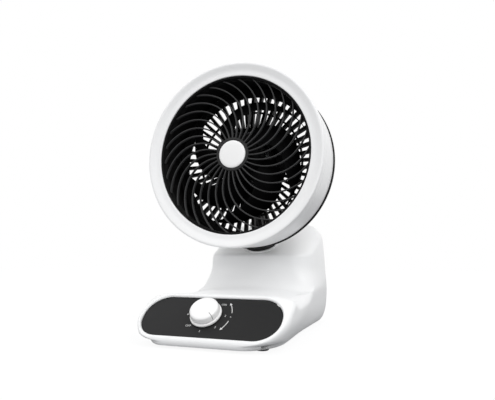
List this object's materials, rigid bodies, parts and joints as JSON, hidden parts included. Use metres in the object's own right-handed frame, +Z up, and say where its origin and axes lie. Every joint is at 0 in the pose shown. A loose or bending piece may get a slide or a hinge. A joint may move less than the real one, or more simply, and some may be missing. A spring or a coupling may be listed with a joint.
{
  "type": "air circulator fan",
  "caption": "Desk air circulator: round ducted fan head with a swept-rib grille on a tilting, swinging neck over a sloping base with a rotary control knob.",
  "frame": {"origin": "under the middle of the whole fan, on the surface that it stands on", "axes": "+Z up, the fan blows towards -Y, +X to the right as seen from the front, with the head straight and level"},
  "size_m": [0.24, 0.2957, 0.348],
  "materials": {
    "white_gloss": "glossy",
    "charcoal_panel": "satin",
    "black_plastic": "matte",
    "grille_plastic": "satin",
    "black_rubber": "matte",
    "steel": "brushed",
    "motor_aluminium": "cast",
    "pinion_brass": "satin",
    "winding_copper": "enamelled wire",
    "acetal": "matte",
    "grey_print": "matte"
  },
  "bodies": {
    "base": {"base_housing": "white_gloss", "bottom_cover": "black_plastic", "foot_front_left": "black_rubber", "foot_front_right": "black_rubber", "foot_rear_left": "black_rubber", "foot_rear_right": "black_rubber", "cover_screw_1": "steel", "cover_screw_2": "steel", "cover_screw_3": "steel", "cover_screw_4": "steel", "cord_inlet": "black_rubber", "run_capacitor": "charcoal_panel", "control_panel": "charcoal_panel", "switch_body": "black_plastic", "switch_nut": "steel", "neck_collar": "white_gloss", "swing_plate": "steel", "neck_bush": "acetal", "thrust_washer": "acetal", "swing_motor": "motor_aluminium", "motor_standoff_left": "steel", "motor_standoff_right": "steel"},
    "dial": {"knob": "white_gloss", "knob_pointer": "grey_print", "switch_shaft": "pinion_brass"},
    "neck": {"swivel_neck": "black_plastic", "neck_shaft": "steel", "sector_gear": "acetal", "gear_clip": "steel", "tilt_bolt": "steel", "tilt_nut": "steel", "tilt_washer_left": "acetal", "tilt_washer_right": "acetal"},
    "pinion": {"swing_pinion": "pinion_brass", "swing_shaft": "steel"},
    "head": {"front_ring": "white_gloss", "front_grille": "grille_plastic", "hub_cap": "white_gloss", "drum_shell": "white_gloss", "rear_grille": "black_plastic", "motor_front_bell": "motor_aluminium", "motor_rear_bell": "motor_aluminium", "stator": "winding_copper", "front_bearing": "steel", "rear_bearing": "steel", "motor_screw_1": "steel", "motor_screw_2": "steel", "motor_screw_3": "steel", "motor_cover": "black_plastic", "tilt_arm": "black_plastic"},
    "fan": {"impeller": "black_plastic", "impeller_nut": "black_plastic", "motor_shaft": "steel", "rotor": "steel"}
  },
  "joints": [
    {"name": "head_swing", "type": "hinge", "parent": "base", "child": "neck", "pos_m": [0, 0.06, 0.1095], "axis": [0, 0, 1], "range_deg": [-40, 40]},
    {"name": "swing_pinion_turn", "type": "hinge", "parent": "base", "child": "pinion", "pos_m": [0, 0.10515, 0.077], "axis": [0, 0, 1], "range_deg": [-161, 161]},
    {"name": "head_tilt", "type": "hinge", "parent": "neck", "child": "head", "pos_m": [0, 0.06, 0.145], "axis": [-1, 0, 0], "range_deg": [0, 60]},
    {"name": "impeller_spin", "type": "hinge", "parent": "head", "child": "fan", "pos_m": [0, -0.0372, 0.228], "axis": [0, 1, 0], "continuous": true},
    {"name": "knob_turn", "type": "hinge", "parent": "base", "child": "dial", "pos_m": [-0.005, -0.11807, 0.03311], "axis": [0, -0.6587, 0.7524], "continuous": true}
  ],
  "couplings": [
    {"joint": "swing_pinion_turn", "follows": "head_swing", "ratio": -4}
  ]
}
